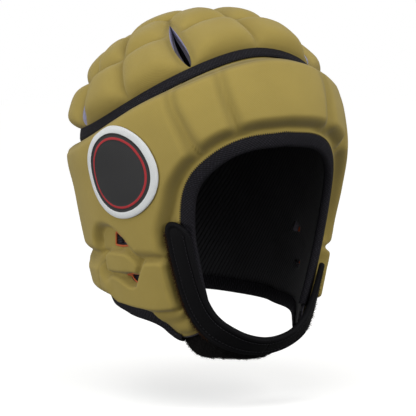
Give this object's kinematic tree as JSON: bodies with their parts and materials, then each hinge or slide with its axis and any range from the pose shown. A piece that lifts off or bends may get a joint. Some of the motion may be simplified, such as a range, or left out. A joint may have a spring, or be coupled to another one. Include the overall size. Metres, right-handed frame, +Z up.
{
  "type": "padded football headgear",
  "caption": "Soft football headgear of fabric-covered foam pads on a lining, with a band round the crown, ear vents, bound edges and a hook-and-loop chin strap.",
  "frame": {"origin": "inside the head, on the sagittal plane, level with the top of the face opening", "axes": "+Z up, the face opening looks along -Y, the wearer's right is at -X"},
  "size_m": [0.1931, 0.23, 0.2558],
  "materials": {
    "cover_fabric": "fine woven old-gold fabric over foam",
    "lining_mesh": "black knitted lining",
    "black_webbing": "black woven tape",
    "black_strap": "black padded strap with bound edges",
    "loop_pile": "black looped pile",
    "hook_tape": "black hook tape",
    "vent_trim": "orange edge trim",
    "badge_film": "plain printed patch"
  },
  "bodies": {
    "shell": {"crown_lining": "lining_mesh", "wall_lining": "lining_mesh", "crown_outer_pad_right_1": "cover_fabric", "crown_middle_pad_right_1": "cover_fabric", "crown_outer_pad_right_2": "cover_fabric", "crown_middle_pad_right_2": "cover_fabric", "crown_outer_pad_right_3": "cover_fabric", "crown_middle_pad_right_3": "cover_fabric", "crown_outer_pad_right_4": "cover_fabric", "crown_middle_pad_right_4": "cover_fabric", "crown_outer_pad_right_5": "cover_fabric", "crown_middle_pad_right_5": "cover_fabric", "crown_top_pad_front_right": "cover_fabric", "crown_top_pad_rear_right": "cover_fabric", "front_side_pad_right": "cover_fabric", "side_pad_right": "cover_fabric", "ear_bar_right": "cover_fabric", "flap_pad_right": "cover_fabric", "rear_pad_right": "cover_fabric", "nape_pad_right": "cover_fabric", "tongue_pad_right": "cover_fabric", "upper_vent_trim_right": "vent_trim", "lower_vent_trim_right": "vent_trim", "crown_outer_pad_left_1": "cover_fabric", "crown_middle_pad_left_1": "cover_fabric", "crown_outer_pad_left_2": "cover_fabric", "crown_middle_pad_left_2": "cover_fabric", "crown_outer_pad_left_3": "cover_fabric", "crown_middle_pad_left_3": "cover_fabric", "crown_outer_pad_left_4": "cover_fabric", "crown_middle_pad_left_4": "cover_fabric", "crown_outer_pad_left_5": "cover_fabric", "crown_middle_pad_left_5": "cover_fabric", "crown_top_pad_front_left": "cover_fabric", "crown_top_pad_rear_left": "cover_fabric", "front_side_pad_left": "cover_fabric", "side_pad_left": "cover_fabric", "ear_bar_left": "cover_fabric", "flap_pad_left": "cover_fabric", "rear_pad_left": "cover_fabric", "nape_pad_left": "cover_fabric", "tongue_pad_left": "cover_fabric", "upper_vent_trim_left": "vent_trim", "lower_vent_trim_left": "vent_trim", "front_pad": "cover_fabric", "crown_band": "black_webbing", "face_binding": "black_webbing", "neck_binding": "black_webbing", "strap_anchor": "black_strap", "loop_patch": "loop_pile", "side_badge": "badge_film"},
    "chin_strap": {"chin_strap": "black_strap"},
    "strap_tip": {"strap_tip": "black_strap", "hook_patch": "hook_tape"},
    "loop_strap": {"loop_strap": "loop_pile"}
  },
  "joints": [
    {"name": "chin_strap_swing", "type": "hinge", "parent": "shell", "child": "chin_strap", "pos_m": [0.04795, -0.0651, -0.12086], "axis": [-0.5199, -0.7272, 0.4482], "range_deg": [0, 90]},
    {"name": "strap_tip_peel", "type": "hinge", "parent": "chin_strap", "child": "strap_tip", "pos_m": [-0.04795, -0.0651, -0.12086], "axis": [0.5199, -0.7272, 0.4482], "range_deg": [0, 100]},
    {"name": "loop_strap_fold", "type": "hinge", "parent": "shell", "child": "loop_strap", "pos_m": [-0.04348, -0.04379, -0.1298], "axis": [0.3416, -0.7776, 0.5278], "range_deg": [0, 45]}
  ]
}
